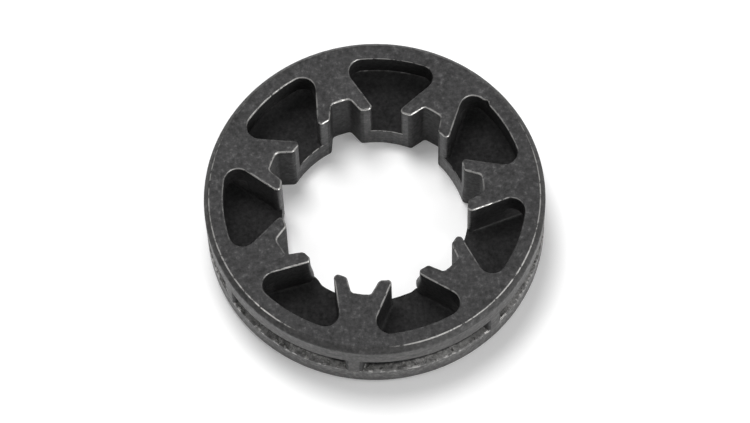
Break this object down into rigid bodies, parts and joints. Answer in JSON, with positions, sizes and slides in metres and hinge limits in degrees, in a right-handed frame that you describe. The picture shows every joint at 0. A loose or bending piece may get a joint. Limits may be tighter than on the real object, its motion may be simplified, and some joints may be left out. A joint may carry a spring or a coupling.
{
  "type": "chainsaw rim sprocket",
  "caption": "Chainsaw rim sprocket: two round rails joined by forked webs, with drive pockets open at the top and through the slot between the rails, and a splined bore.",
  "frame": {"origin": "centre of the closed rail's flat underside, on the bore axis", "axes": "+Z along the bore axis, from the closed rail to the open rail; +X through the middle of one web and its spline groove"},
  "size_m": [0.0376, 0.0376, 0.0086],
  "materials": {
    "cast_steel": "fine-grained dark cast steel with bright worn edges"
  },
  "bodies": {
    "root": {"rim_sprocket": "cast_steel"}
  },
  "joints": []
}
